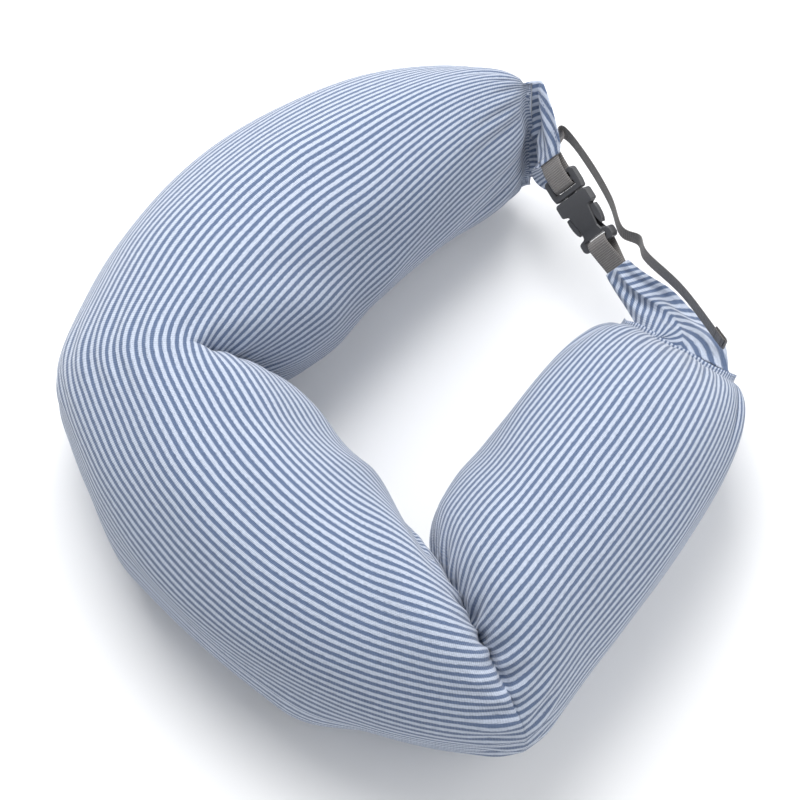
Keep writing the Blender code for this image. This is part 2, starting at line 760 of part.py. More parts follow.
# An open end keeps to its elbow's plane, and a closed end also draws back from the seam.
tip = len(ARM_STATIONS) - 1
left_ends = {0: (LEFT.elbow_normal(), 0), tip: (-LEFT.heading(LEFT_ARM_LENGTH), 1)}
right_ends = {0: (RIGHT.elbow_normal(), 0), tip: (-RIGHT.heading(RIGHT_ARM_LENGTH), 1)}
back_ends = {
    0: (BACK_FROM_LEFT.elbow_normal(), 0),
    2 * len(BACK_STATIONS): (BACK_FROM_RIGHT.elbow_normal(), 0),
}
cover = add_cushion("back", back_rings(BACK_FROM_LEFT, BACK_FROM_RIGHT), back_ends, None)
add_cushion("left_arm", arm_rings(LEFT, True), left_ends, ARM_LEFT)
add_cushion("right_arm", arm_rings(RIGHT, False), right_ends, ARM_RIGHT)
add_flaps(STRAP_LEFT, STRAP_RIGHT)
add_female(FEMALE_FRAME)
add_male(MALE_FRAME)
add_prong("buckle_prong_front", 1, MALE_FRAME)
add_prong("buckle_prong_back", -1, MALE_FRAME)
add_adjustable_strap(MALE_FRAME)
add_fixed_strap(STRAP_RIGHT)
add_zip(cover)

for node in PILLOW.objects:
    if node.type == "MESH":
        shade_smooth(node)
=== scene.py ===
"""Looks of a U shaped neck pillow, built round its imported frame.

The striped cover, its liner and filling, the end flaps and the webbing are rebuilt here in full
detail. Directions: +Z is up, the wearer's left arm is at +X, and the buckle closes the -Y side.
"""

import json
import math

import bmesh
import bpy
import numpy as np
from mathutils import Matrix, Vector


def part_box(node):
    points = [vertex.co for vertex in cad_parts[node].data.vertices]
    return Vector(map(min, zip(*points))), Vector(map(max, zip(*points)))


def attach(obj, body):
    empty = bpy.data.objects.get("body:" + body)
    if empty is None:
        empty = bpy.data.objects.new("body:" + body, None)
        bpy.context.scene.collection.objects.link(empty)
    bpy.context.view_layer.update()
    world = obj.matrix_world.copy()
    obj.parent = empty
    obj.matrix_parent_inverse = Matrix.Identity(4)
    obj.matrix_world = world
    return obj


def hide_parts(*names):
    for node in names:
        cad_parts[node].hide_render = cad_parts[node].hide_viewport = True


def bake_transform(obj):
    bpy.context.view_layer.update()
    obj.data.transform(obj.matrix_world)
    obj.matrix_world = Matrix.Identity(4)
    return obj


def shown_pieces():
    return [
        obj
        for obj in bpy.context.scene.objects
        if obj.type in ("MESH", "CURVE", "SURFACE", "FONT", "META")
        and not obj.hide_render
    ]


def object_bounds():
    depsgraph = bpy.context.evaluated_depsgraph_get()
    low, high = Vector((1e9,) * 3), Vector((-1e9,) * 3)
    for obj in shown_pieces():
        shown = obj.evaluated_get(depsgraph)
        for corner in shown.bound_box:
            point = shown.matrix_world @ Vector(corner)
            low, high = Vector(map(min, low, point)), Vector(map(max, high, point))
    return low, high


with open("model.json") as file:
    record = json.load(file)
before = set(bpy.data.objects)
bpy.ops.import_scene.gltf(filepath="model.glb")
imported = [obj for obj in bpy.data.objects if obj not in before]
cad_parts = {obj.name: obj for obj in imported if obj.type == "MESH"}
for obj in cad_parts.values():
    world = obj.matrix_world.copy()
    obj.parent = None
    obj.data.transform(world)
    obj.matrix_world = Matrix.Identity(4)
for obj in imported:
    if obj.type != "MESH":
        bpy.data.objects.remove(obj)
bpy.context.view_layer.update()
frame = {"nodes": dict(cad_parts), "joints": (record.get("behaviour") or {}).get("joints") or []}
JOINTS = {joint["name"]: joint for joint in frame["joints"]}

# The stuffed tube's shape where the frame doesn't state it, in metres and radians.
ELBOW_HALF_WIDTH = 0.075
LEFT_HALF_WIDTH = 0.077
RIGHT_HALF_WIDTH = 0.070
BACK_HALF_WIDTH = 0.074
END_HALF_THICKNESS = 0.006
END_HALF_LENGTH = 0.048
LEVEL_HALF_LENGTH = 0.040
LEFT_CREASE = math.radians(44)
RIGHT_CREASE = math.radians(158)
LEFT_CURL = math.radians(-62)
RIGHT_CURL = math.radians(10)
ARM_TURN_SHARE = 0.6
LEFT_END_ROLL = math.radians(-17)
# Shares of an arm's length: where it has its full width, and where the left arm starts to roll.
FULL_WIDTH_SHARE = 0.25
ROLL_SHARE = 0.55
FLAT_TAPER = 3
LONG_TAPER = 6
TAPER_ROUNDNESS = 0.6

# Grid of the cover: rings along each stretch and points round a ring, then how much finer it gets.
RIGHT_RINGS = 42
BACK_RINGS = 46
LEFT_RINGS = 52
AROUND = 76
REFINE = 3
ELBOW_DENSITY = 0.6
RIGHT_ELBOW_RING = RIGHT_RINGS * REFINE
LEFT_ELBOW_RING = (RIGHT_RINGS + BACK_RINGS) * REFINE
MIDDLE_RING = (RIGHT_RINGS + BACK_RINGS // 2) * REFINE
TUBE_RADIUS = 0.0735

# Cloth pass: the cover starts smaller, swells under pressure, and no point moves past the cap.
START_INSET = 0.003
SWELL_CAP = 0.006
CLOTH_FRAMES = 20
CLOTH_SETTINGS = {
    "quality": 6,
    "mass": 0.25,
    "tension_stiffness": 18,
    "compression_stiffness": 18,
    "shear_stiffness": 6,
    "bending_stiffness": 0.4,
    "use_pressure": True,
    "uniform_pressure_force": 4.0,
    "vertex_group_mass": "held",
}

# Round a section, 0 is its outer side and 1 its inner side.
# The left elbow's outer side is rounded over some rings, near the corner and the elbow's plane.
SOFT_RINGS = 12
SOFT_SIDE = (0.55, 0.85)
SOFT_RADIUS = (0.136, 0.17)
SOFT_FADE = (0.020, 0.080)
# Each elbow's fold: its least depth, what its inner side adds, where that sets in, and its reach.
RIGHT_FOLD = (0.002, 0.029, (0.0, 0.42), 0.023)
LEFT_FOLD = (0.0, 0.026, (0.58, 0.85), 0.022)
FOLD_BULGE = 0.16
# Puckers beside each fold: their height at the right and left elbow, and where they lie.
PUCKER_HEIGHTS = (0.0010, 0.0005)
PUCKER_OFFSET = 0.012
PUCKER_SPREAD = 0.016
# The second fold runs beside the right elbow's, on the back.
SECOND_FOLD_OFFSET = 0.042
SECOND_FOLD_SWAY = 0.010
SECOND_FOLD_DEPTH = 0.0070
SECOND_FOLD_ANGLE = math.radians(140)
SECOND_FOLD_SPREAD = 0.45

# Gathered ends: pleat depth, then each end's side, seed and number of pleats.
PLEAT_DEPTH = 0.0026
GATHERS = ((1, 0.7, 18), (-1, 2.1, 20))
RIPPLE_HEIGHT = 0.0010
# The sewn lip's rings: how far each lies beyond the arm's end, and how much thickness it keeps.
LIP_RINGS = ((0.0010, 0.70), (0.0018, 0.42), (0.0028, 0.28), (0.0050, 0.24))
LIP_STEP = 0.0013

# Each inner layer's depth below the cover, and how many rings short of the end seams it stops.
INNER_LAYERS = (("liner", 0.0058, 3), ("bead_fill", 0.0088, 5))
DEEPEST_INSET = 0.7
# How many fine rings a fold's depth is spread over under the cover, and then averaged over.
ROOM_RINGS = 20
ROOM_BLUR = 8

STRIPE_PITCH = 0.0050
WALE_PITCH = 0.0009
COURSE_PITCH = 0.0011
RIB_PITCH = 0.0014
WEBBING_THREAD_PITCH = 0.0010
TAPE_RIB_PITCH = 0.0011
COTTON_PITCH = 0.0008
LIGHT_STRIPE = (0.455, 0.505, 0.610)
DARK_STRIPE = (0.100, 0.142, 0.240)

# Bands: how square their edges are, and how much thickness is gone there.
EDGE_SQUARENESS = 8
EDGE_THINNING = 0.75
# Webbing: its half sizes, what it loses between two ribs, its cords and its grid.
WEBBING_HALF_WIDTH = 0.0075
WEBBING_HALF_THICKNESS = 0.0006
RIB_NARROWING = 0.00022
RIB_THINNING = 0.00012
CORD_HEIGHT = 0.00004
CORDS = 4
WEBBING_COLUMNS = 17

# Places along the strap's frame: where each flap ends, and how far the webbing stands off.
LEFT_FLAP_TIP = -0.0268
RIGHT_FLAP_TIP = 0.0532
OVER_LADDER = 0.0037
OVER_BAR = 0.0047
SEWN_IN = 0.0009
HEM_LENGTH = 0.010
HEM_ROWS = (0.0020, 0.0080)
# Stitches: half length, half width and half height, then the step from one to the next.
HEM_STITCH = (0.0008, 0.00025, 0.00022)
HEM_STITCH_STEP = 0.0022
FLAP_STITCH = (0.0009, 0.00022, 0.0002)
FLAP_STITCH_STEP = 0.0026

# Flaps: the gap at the seam, width at the strap, how straight the path leaves and arrives, and
# the grid.
FLAP_SEAM_GAP = 0.0015
FLAP_TIP_WIDTH = 0.019
FLAP_LEAVE = 0.28
FLAP_REACH = 0.45
FLAP_RINGS = 80
FLAP_COLUMNS = 49
# Their thickness, the height of their slack, their hems' place and height, and the cloth's bend.
FLAP_HALF_THICKNESS = 0.0013
FLAP_TIP_PADDING = 0.0009
FLAP_WAVE = 0.0016
HEM_HEIGHT = 0.0006
HEM_PLACE = 0.82
HEM_COLUMN = 4
HEM_THREAD_HEIGHT = 0.0016

CAMERA_AZIMUTH = math.radians(222)
CAMERA_ELEVATION = math.radians(70)
CAMERA_LENS = 110
SENSOR_WIDTH = 36
FRAME_SHARE = 0.86
STUDIO_MIDDLE = (0, -0.1, 0.06)
# Each light's place towards the camera, to its right, up in its picture and up in the world,
# then its size and power.
LIGHTS = {
    "key": ((0.9, -0.2, 1.1, 0), 1.0, 26),
    "fill": ((0.8, 1.2, 0.3, 0), 1.4, 8),
    "front": ((0, 0, -1.2, 0.5), 1.2, 2),
}
SKY_COLOUR = (0.96, 0.98, 1.0, 1)
SKY_STRENGTH = 0.55

UP = np.array((0.0, 0.0, 1.0))


def place_of(joint):
    return np.array(JOINTS[joint]["pos_m"], float)


def axis_of(joint):
    axis = np.array(JOINTS[joint]["axis"], float)
    return axis / np.linalg.norm(axis)


def direction(angle):
    return np.array((math.cos(angle), math.sin(angle), 0.0))


def smoothstep(low, high, value):
    t = np.clip((value - low) / (high - low), 0, 1)
    return t * t * (3 - 2 * t)


def unit(vectors):
    return vectors / np.maximum(np.linalg.norm(vectors, axis=-1, keepdims=True), 1e-12)


class Arc:
    """A stretch of the tube's centre line that starts at an elbow and curves at a steady rate.

    Side is 1 where the outer side lies left of the heading. Crease is the angle of the elbow's
    fold, and turn_share the share of the length over which the sections turn away from it.
    """

    def __init__(self, corner, end, curl, side, crease, turn_share):
        chord = end - corner
        self.corner = corner
        self.curl = curl
        self.side = side
        self.crease = direction(crease)
        self.start = math.atan2(chord[1], chord[0]) - curl / 2
        self.length = np.linalg.norm(chord) * (curl / 2) / math.sin(curl / 2)
        self.turn_length = self.length * turn_share

    def heading(self, along):
        angle = self.start + self.curl * np.asarray(along) / self.length
        return np.stack([np.cos(angle), np.sin(angle), np.zeros_like(angle)], -1)

    def point(self, along):
        first, now = self.heading(0.0), self.heading(along)
        turned = np.stack([now[..., 1] - first[1], first[0] - now[..., 0], 0 * now[..., 0]], -1)
        return self.corner + turned * self.length / self.curl

    def outward(self, along):
        heading = self.heading(along)
        return np.stack([-heading[..., 1], heading[..., 0], heading[..., 2]], -1) * self.side

    def across(self, along):
        """The section's width direction, which turns at a steady rate from the elbow's crease."""
        outward = self.outward(np.maximum(along, self.turn_length))
        swing = np.arctan2(
            self.crease[0] * outward[..., 1] - self.crease[1] * outward[..., 0],
            outward[..., 0] * self.crease[0] + outward[..., 1] * self.crease[1],
        )
        turn = np.minimum(1, np.asarray(along) / self.turn_length)
        angle = math.atan2(self.crease[1], self.crease[0]) + swing * turn
        return np.stack([np.cos(angle), np.sin(angle), 0 * angle], -1)

    def elbow_normal(self):
        normal = np.array((-self.crease[1], self.crease[0], 0.0))
        return normal if normal @ self.heading(0.0) > 0 else -normal


CENTRE_HEIGHT = place_of("arm_left_open")[2]
TUBE_HALF_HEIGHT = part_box("cover_back")[1].z - CENTRE_HEIGHT
LEFT_END = place_of("flap_left_bend") * (1, 1, 0)
RIGHT_END = place_of("flap_right_bend") * (1, 1, 0)
LEFT_CORNER = place_of("arm_left_open") * (1, 1, 0) - direction(LEFT_CREASE) * ELBOW_HALF_WIDTH
RIGHT_CORNER = place_of("arm_right_open") * (1, 1, 0) - direction(RIGHT_CREASE) * ELBOW_HALF_WIDTH
BACK_MIDDLE = np.zeros(3)
BOW = 2 * math.atan2(-LEFT_CORNER[1], LEFT_CORNER[0])

LEFT = Arc(LEFT_CORNER, LEFT_END, LEFT_CURL, 1, LEFT_CREASE, ARM_TURN_SHARE)
RIGHT = Arc(RIGHT_CORNER, RIGHT_END, RIGHT_CURL, -1, RIGHT_CREASE, ARM_TURN_SHARE)
BACK_LEFT = Arc(LEFT_CORNER, BACK_MIDDLE, BOW, -1, LEFT_CREASE, 1)
BACK_RIGHT = Arc(RIGHT_CORNER, BACK_MIDDLE, -BOW, 1, RIGHT_CREASE, 1)

# The strap's frame sits in the buckle's mouth: x along the strap, y across it, z out of its face.
STRAP_X = -axis_of("strap_tighten")
STRAP_Z = -axis_of("prong_front_squeeze")
STRAP_Y = np.cross(STRAP_Z, STRAP_X)
PRONG_ROOT_X = 0.0009
MOUTH = (place_of("prong_front_squeeze") + place_of("prong_back_squeeze")) / 2
MOUTH = MOUTH - STRAP_X * PRONG_ROOT_X
CHAIN = unit(RIGHT_END - LEFT_END)
OUTSIDE = np.array((-CHAIN[1], CHAIN[0], 0.0))

# The zip's frame: x along the zip, z out of the cover.
ZIP_X = axis_of("zip_slider_travel")
ZIP_Y = -axis_of("zip_pull_tilt")
ZIP_Z = np.cross(ZIP_X, ZIP_Y)
PULL_HEIGHT = 0.0050
ZIP_MIDDLE = (place_of("zip_pull_tilt") - ZIP_Z * PULL_HEIGHT) * (0, 1, 1)
ZIP_HALF_LENGTH = 0.060
# The cloth lies just under the zip, and leaves that level over these distances.
ZIP_LEVEL = -0.0004
ZIP_FADE_ACROSS = (0.012, 0.055)
ZIP_FADE_ALONG = (ZIP_HALF_LENGTH, ZIP_HALF_LENGTH + 0.052)
ZIP_FADE_DEPTH = (-0.06, -0.03)

# Where each half would start and end its bend, though no bend is made: a direction, then two
# distances along it from a point.
BLEND_LEFT = (LEFT.elbow_normal(), LEFT_CORNER, -0.050, 0.050)
BLEND_RIGHT = (direction(math.radians(233)), BACK_MIDDLE, 0.066, 0.130)


# ---- materials


def fill_socket(tree, socket, value):
    """Links an input to a (node, output) pair, or sets its value."""
    if isinstance(value, tuple) and isinstance(value[0], bpy.types.Node):
        tree.links.new(value[0].outputs[value[1]], socket)
    else:
        socket.default_value = value


def add_node(tree, kind, **values):
    """A shader node. Names give its inputs, "in0" one by number, and "set_..." its settings."""
    node = tree.nodes.new(f"ShaderNode{kind}")
    for name, value in values.items():
        if name.startswith("set_"):
            setattr(node, name[4:], value)
            continue
        key = int(name[2:]) if name.startswith("in") else name
        fill_socket(tree, node.inputs[key], value)
    return node


def maths(tree, operation, *inputs):
    """The output of a Math node."""
    values = {f"in{index}": value for index, value in enumerate(inputs)}
    return (add_node(tree, "Math", set_operation=operation, **values), 0)


def mix_colour(tree, factor, first, second, blend="MIX"):
    """Mixes two colours. A Mix node's colours are its inputs 6 and 7 and its output 2."""
    values = {"set_data_type": "RGBA", "set_blend_type": blend}
    return (add_node(tree, "Mix", **values, in0=factor, in6=first, in7=second), 2)


def noise(tree, vector, scale, detail=2.0):
    return (add_node(tree, "TexNoise", Vector=vector, Scale=scale, Detail=detail), 0)


def stretched(tree, vector, scales):
    """A place scaled by its own factor along each axis."""
    return (add_node(tree, "VectorMath", set_operation="MULTIPLY", in0=vector, in1=scales), 0)


def object_place(tree):
    """The place in the object's own coordinates, in metres."""
    return (add_node(tree, "TexCoord"), 3)


def new_material(name):
    """A new material and its node tree."""
    material = bpy.data.materials.new(name)
    material.use_nodes = True
    return material, material.node_tree


def shade(tree, colour, **values):
    """Sets the Principled shader's colour and other inputs. An input's name has _ for a space."""
    shader = tree.nodes["Principled BSDF"]
    fill_socket(tree, shader.inputs["Base Color"], colour)
    for name, value in values.items():
        fill_socket(tree, shader.inputs[name.replace("_", " ")], value)


def add_bump(tree, height, distance):
    shader = tree.nodes["Principled BSDF"]
    bump = add_node(tree, "Bump", Height=height, Distance=distance, Strength=1.0)
    tree.links.new(bump.outputs[0], shader.inputs["Normal"])


def cloth_place(tree):
    """The cloth's own coordinates in metres: along the tube, and round it."""
    place = add_node(tree, "UVMap", set_uv_map="cloth")
    split = add_node(tree, "SeparateXYZ", Vector=(place, 0))
    return (split, 0), (split, 1)


def ridges(tree, place, pitch):
    """A wave between 0 and 1 that repeats with the given pitch."""
    turns = maths(tree, "MULTIPLY", place, math.tau / pitch)
    wave = maths(tree, "SINE", turns)
    return maths(tree, "MULTIPLY_ADD", wave, 0.5, 0.5)


def jersey_material():
    """Knitted jersey with soft stripes, each thread of its own shade."""
    material, tree = new_material("striped_jersey")
    along, around = cloth_place(tree)
    wander = maths(tree, "MULTIPLY_ADD", noise(tree, object_place(tree), 35.0), 0.0012, around)
    cloth = (add_node(tree, "CombineXYZ", X=along, Y=around), 0)
    heather = noise(tree, stretched(tree, cloth, (420.0, 1500.0, 1.0)), 1.0, 3.0)
    edge = maths(tree, "MULTIPLY_ADD", heather, 0.0012, wander)
    stripe = ridges(tree, edge, STRIPE_PITCH)
    ramp = add_node(tree, "ValToRGB", Fac=stripe)
    stops = ramp.color_ramp.elements
    for stop, position, colour in zip(stops, (0.30, 0.72), (DARK_STRIPE, LIGHT_STRIPE)):
        stop.position = position
        stop.color = (*colour, 1)
    flecks = maths(tree, "MULTIPLY_ADD", heather, 0.9, 0.55)
    grey = (add_node(tree, "CombineColor", Red=flecks, Green=flecks, Blue=flecks), 0)
    colour = mix_colour(tree, 0.75, (ramp, 0), grey, "MULTIPLY")
    sheen = {"Sheen_Weight": 0.35, "Sheen_Roughness": 0.5}
    shade(tree, colour, Roughness=0.92, Specular_IOR_Level=0.25, **sheen)
    wales = ridges(tree, around, WALE_PITCH)
    courses = ridges(tree, along, COURSE_PITCH)
    knit = maths(tree, "MULTIPLY", wales, courses)
    add_bump(tree, maths(tree, "MULTIPLY_ADD", stripe, 0.5, knit), 0.00025)
    return material


def webbing_material():
    """Ribbed warm grey webbing, with painted shade between its ribs."""
    material, tree = new_material("ribbed_webbing")
    along, around = cloth_place(tree)
    ribs, threads = ridges(tree, along, RIB_PITCH), ridges(tree, around, WEBBING_THREAD_PITCH)
    weave = maths(tree, "MULTIPLY", ribs, threads)
    uneven = maths(tree, "MULTIPLY_ADD", noise(tree, object_place(tree), 900.0), 0.5, 0.1)
    # The colour follows the weave's relief: painted shade between the ribs, and uneven tone from
    # the noise.
    factor = maths(tree, "MULTIPLY_ADD", weave, 0.6, uneven)
    colour = mix_colour(tree, factor, (0.060, 0.056, 0.054, 1), (0.235, 0.220, 0.212, 1))
    shade(tree, colour, Roughness=0.8, Sheen_Weight=0.2)
    add_bump(tree, weave, 0.0003)
    return material


def plastic_material():
    """Satin moulded plastic with a fine spark texture and a painted highlight along its sharp
    edges.
    """
    material, tree = new_material("moulded_plastic")
    space = object_place(tree)
    geometry = add_node(tree, "NewGeometry")
    # Sharp outer edges, found by their pointiness, get a lighter colour: a painted highlight.
    painted_edge_highlight = add_node(tree, "ValToRGB", Fac=(geometry, "Pointiness"))
    for stop, position in zip(painted_edge_highlight.color_ramp.elements, (0.50, 0.62)):
        stop.position = position
    cloudy = noise(tree, space, 300.0)
    base = mix_colour(tree, cloudy, (0.020, 0.021, 0.024, 1), (0.032, 0.033, 0.036, 1))
    colour = mix_colour(tree, (painted_edge_highlight, 0), base, (0.075, 0.075, 0.080, 1))
    rough = maths(tree, "MULTIPLY_ADD", noise(tree, space, 500.0), 0.18, 0.32)
    shade(tree, colour, Roughness=rough)
    add_bump(tree, noise(tree, space, 2500.0), 0.00008)
    return material


def tape_material():
    """Woven zip tape with fine herringbone ribs."""
    material, tree = new_material("zip_tape_weave")
    split = add_node(tree, "SeparateXYZ", Vector=object_place(tree))
    ribs = ridges(tree, maths(tree, "ADD", (split, 0), (split, 2)), TAPE_RIB_PITCH)
    colour = mix_colour(tree, ribs, (0.135, 0.175, 0.275, 1), (0.235, 0.285, 0.410, 1))
    shade(tree, colour, Roughness=0.85)
    add_bump(tree, ribs, 0.0002)
    return material


def teeth_material():
    """Moulded zip teeth, a little glossier than the tape."""
    material, tree = new_material("zip_teeth_plastic")
    cloudy = noise(tree, object_place(tree), 600.0)
    colour = mix_colour(tree, cloudy, (0.15, 0.19, 0.29, 1), (0.21, 0.26, 0.37, 1))
    shade(tree, colour, Roughness=0.38)
    return material


def metal_material():
    """Dull nickel plate with fine brushing and a few darker rubs."""
    material, tree = new_material("nickel_plate")
    space = object_place(tree)
    streaks = noise(tree, stretched(tree, space, (300.0, 4000.0, 4000.0)), 1.0)
    rubs = noise(tree, space, 250.0)
    colour = mix_colour(tree, rubs, (0.42, 0.42, 0.43, 1), (0.62, 0.62, 0.61, 1))
    rough = maths(tree, "MULTIPLY_ADD", streaks, 0.25, 0.22)
    shade(tree, colour, Metallic=1.0, Roughness=rough)
    add_bump(tree, streaks, 0.00003)
    return material


def liner_material():
    """Plain white cotton liner with a fine square weave."""
    material, tree = new_material("liner_cotton")
    along, around = cloth_place(tree)
    warp, weft = (ridges(tree, place, COTTON_PITCH) for place in (along, around))
    weave = maths(tree, "MULTIPLY", warp, weft)
    colour = mix_colour(tree, weave, (0.68, 0.68, 0.66, 1), (0.84, 0.84, 0.82, 1))
    shade(tree, colour, Roughness=0.9)
    add_bump(tree, weave, 0.0002)
    return material


def bead_material():
    """Small white beads, pressed together, with painted shade round each bead and between them."""
    material, tree = new_material("micro_beads")
    cells = (add_node(tree, "TexVoronoi", Vector=object_place(tree), Scale=700.0), 0)
    # White in each cell's middle and grey towards its edge: painted shade round each bead and in
    # the gaps between beads.
    colour = mix_colour(tree, cells, (0.92, 0.92, 0.92, 1), (0.70, 0.70, 0.71, 1))
    shade(tree, colour, Roughness=0.5)
    add_bump(tree, maths(tree, "SUBTRACT", 1.0, cells), 0.0006)
    return material


def thread_material():
    """Twisted sewing thread."""
    material, tree = new_material("sewing_thread")
    twist = noise(tree, object_place(tree), 1500.0)
    colour = mix_colour(tree, twist, (0.10, 0.14, 0.25, 1), (0.20, 0.25, 0.38, 1))
    shade(tree, colour, Roughness=0.75)
    add_bump(tree, twist, 0.0001)
    return material


JERSEY = jersey_material()
WEBBING = webbing_material()
PLASTIC = plastic_material()
TAPE = tape_material()
TEETH = teeth_material()
METAL = metal_material()
LINER = liner_material()
BEADS = bead_material()
THREAD = thread_material()


# ---- mesh helpers


def grid_mesh(name, points, along, around, normals=None):
    """A closed tube from points[ring, step]. The UV map "cloth" holds metres along and round it."""
    rings, steps = points.shape[:2]
    index = np.arange(rings * steps).reshape(rings, steps)
    beside = np.roll(index, -1, axis=1)
    quads = np.stack([index[:-1], beside[:-1], beside[1:], index[1:]], -1).reshape(-1, 4)
    faces = quads.tolist() + [index[0][::-1].tolist(), index[-1].tolist()]
    mesh = bpy.data.meshes.new(name)
    mesh.from_pydata(points.reshape(-1, 3).tolist(), [], faces)
    layer = mesh.uv_layers.new(name="cloth")
    corners = np.empty((rings - 1, steps, 4, 2))
    corners[..., :2, 0], corners[..., 2:, 0] = along[:-1, None, None], along[1:, None, None]
    corners[..., ::3, 1], corners[..., 1:3, 1] = around[:-1, None], around[1:, None]
    flat = corners.reshape(-1, 2)
    everything = np.zeros((len(mesh.loops), 2), np.float32)
    everything[: len(flat)] = flat
    layer.uv.foreach_set("vector", everything.ravel())
    mesh.polygons.foreach_set("use_smooth", np.arange(len(faces)) < len(quads))
    work = bmesh.new()
    work.from_mesh(mesh)
    if work.calc_volume(signed=True) < 0:
        bmesh.ops.reverse_faces(work, faces=work.faces)
    work.to_mesh(mesh)
    work.free()
    if normals is not None:
        mesh.normals_split_custom_set_from_vertices(normals.reshape(-1, 3).tolist())
    return mesh


def add_piece(name, mesh, material, slot):
    piece = bpy.data.objects.new(name, mesh)
    mesh.materials.append(material)
    bpy.context.scene.collection.objects.link(piece)
    return piece


def finer(values, factor, axis, periodic):
    """More points along an axis, on a Catmull-Rom curve through the given ones."""
    values = np.moveaxis(values, axis, 0)
    if periodic:
        padded = np.concatenate([values[-1:], values, values[:2]])
    else:
        first, last = 2 * values[:1] - values[1:2], 2 * values[-1:] - values[-2:-1]
        padded = np.concatenate([first, values, last])
    spans = len(padded) - 3
    before, start, end, after = (padded[shift : spans + shift] for shift in range(4))
    pieces = []
    for step in range(factor):
        t = step / factor
        quadratic = (2 * before - 5 * start + 4 * end - after) * t * t
        cubic = (3 * start - before - 3 * end + after) * t**3
        pieces.append((2 * start + (end - before) * t + quadratic + cubic) / 2)
    result = np.stack(pieces, 1).reshape(-1, *values.shape[1:])
    if not periodic:
        result = np.concatenate([result, values[-1:]])
    return np.moveaxis(result, 0, axis)


def path_lengths(path):
    """Each point's distance from a path's start, along the path."""
    steps = np.linalg.norm(np.diff(path, axis=0), axis=1)
    return np.concatenate([[0], np.cumsum(steps)])


def grid_normals(points):
    """Outward normals of a closed tube grid."""
    round_it = np.roll(points, -1, axis=1) - np.roll(points, 1, axis=1)
    along_it = np.gradient(points, axis=0)
    normals = unit(np.cross(round_it, along_it))
    middle = points.mean(axis=1, keepdims=True)
    outwards = ((points - middle) * normals).sum(-1).mean()
    return normals if outwards > 0 else -normals


# ---- cover


def eased(count):
    """Fractions from 0 to 1 that lie closer together near both ends."""
    t = np.linspace(0, 1, count + 1)
    return t - ELBOW_DENSITY * np.sin(math.tau * t) / math.tau


def arm_sizes(share, level):
    """Half width and half height of an arm's section at a share of its length."""
    flat = (1 - share**FLAT_TAPER) ** TAPER_ROUNDNESS
    long = (1 - share**LONG_TAPER) ** TAPER_ROUNDNESS
    wide, tall = (long, flat) if level else (flat, long)
    end_width, end_height = END_HALF_THICKNESS, END_HALF_LENGTH
    if level:
        end_width, end_height = LEVEL_HALF_LENGTH, END_HALF_THICKNESS
    widest = RIGHT_HALF_WIDTH if level else LEFT_HALF_WIDTH
    widened = smoothstep(0, FULL_WIDTH_SHARE, share)
    full = ELBOW_HALF_WIDTH + (widest - ELBOW_HALF_WIDTH) * widened
    half_width = end_width + (full - end_width) * wide
    return half_width, end_height + (TUBE_HALF_HEIGHT - end_height) * tall


def sections(arc, along, half_width, half_height, roll=0.0):
    """Rows of centre, across, half sizes and roll about the heading."""
    sizes = [half_width, half_height, np.broadcast_to(roll, half_width.shape)]
    return np.concatenate([arc.point(along), arc.across(along), np.stack(sizes, 1)], 1)


def tube_sections():
    """Sections from the right arm's end round to the left arm's: centre, across and half sizes."""
    right_share = 1 - eased(RIGHT_RINGS)
    right = sections(RIGHT, right_share * RIGHT.length, *arm_sizes(right_share, True))
    back_share = eased(BACK_RINGS)[1:-1]
    back_along = back_share * 2 * BACK_LEFT.length
    width = ELBOW_HALF_WIDTH + (BACK_HALF_WIDTH - ELBOW_HALF_WIDTH) * np.sin(back_share * math.pi)
    height = np.full_like(width, TUBE_HALF_HEIGHT)
    first = back_along < BACK_RIGHT.length
    from_right = sections(BACK_RIGHT, back_along[first], width[first], height[first])
    rest = 2 * BACK_LEFT.length - back_along[~first]
    from_left = sections(BACK_LEFT, rest, width[~first], height[~first])
    left_share = eased(LEFT_RINGS)
    roll = LEFT_END_ROLL * smoothstep(ROLL_SHARE, 1, left_share)
    left = sections(LEFT, left_share * LEFT.length, *arm_sizes(left_share, False), roll)
    return np.concatenate([right, from_right, from_left, left])


def tube_points(rows):
    """points[ring, step] of the plain tube. Step 0 is the outer side and a quarter is the top."""
    angle = np.arange(AROUND) * math.tau / AROUND
    centre = rows[:, None, :3] + UP * CENTRE_HEIGHT
    turn = rows[:, None, 8:9]
    across = rows[:, None, 3:6] * np.cos(turn) + UP * np.sin(turn)
    rise = UP * np.cos(turn) - rows[:, None, 3:6] * np.sin(turn)
    side = across * (np.cos(angle)[None, :, None] * rows[:, None, 6:7])
    return centre + side + rise * (np.sin(angle)[None, :, None] * rows[:, None, 7:8])


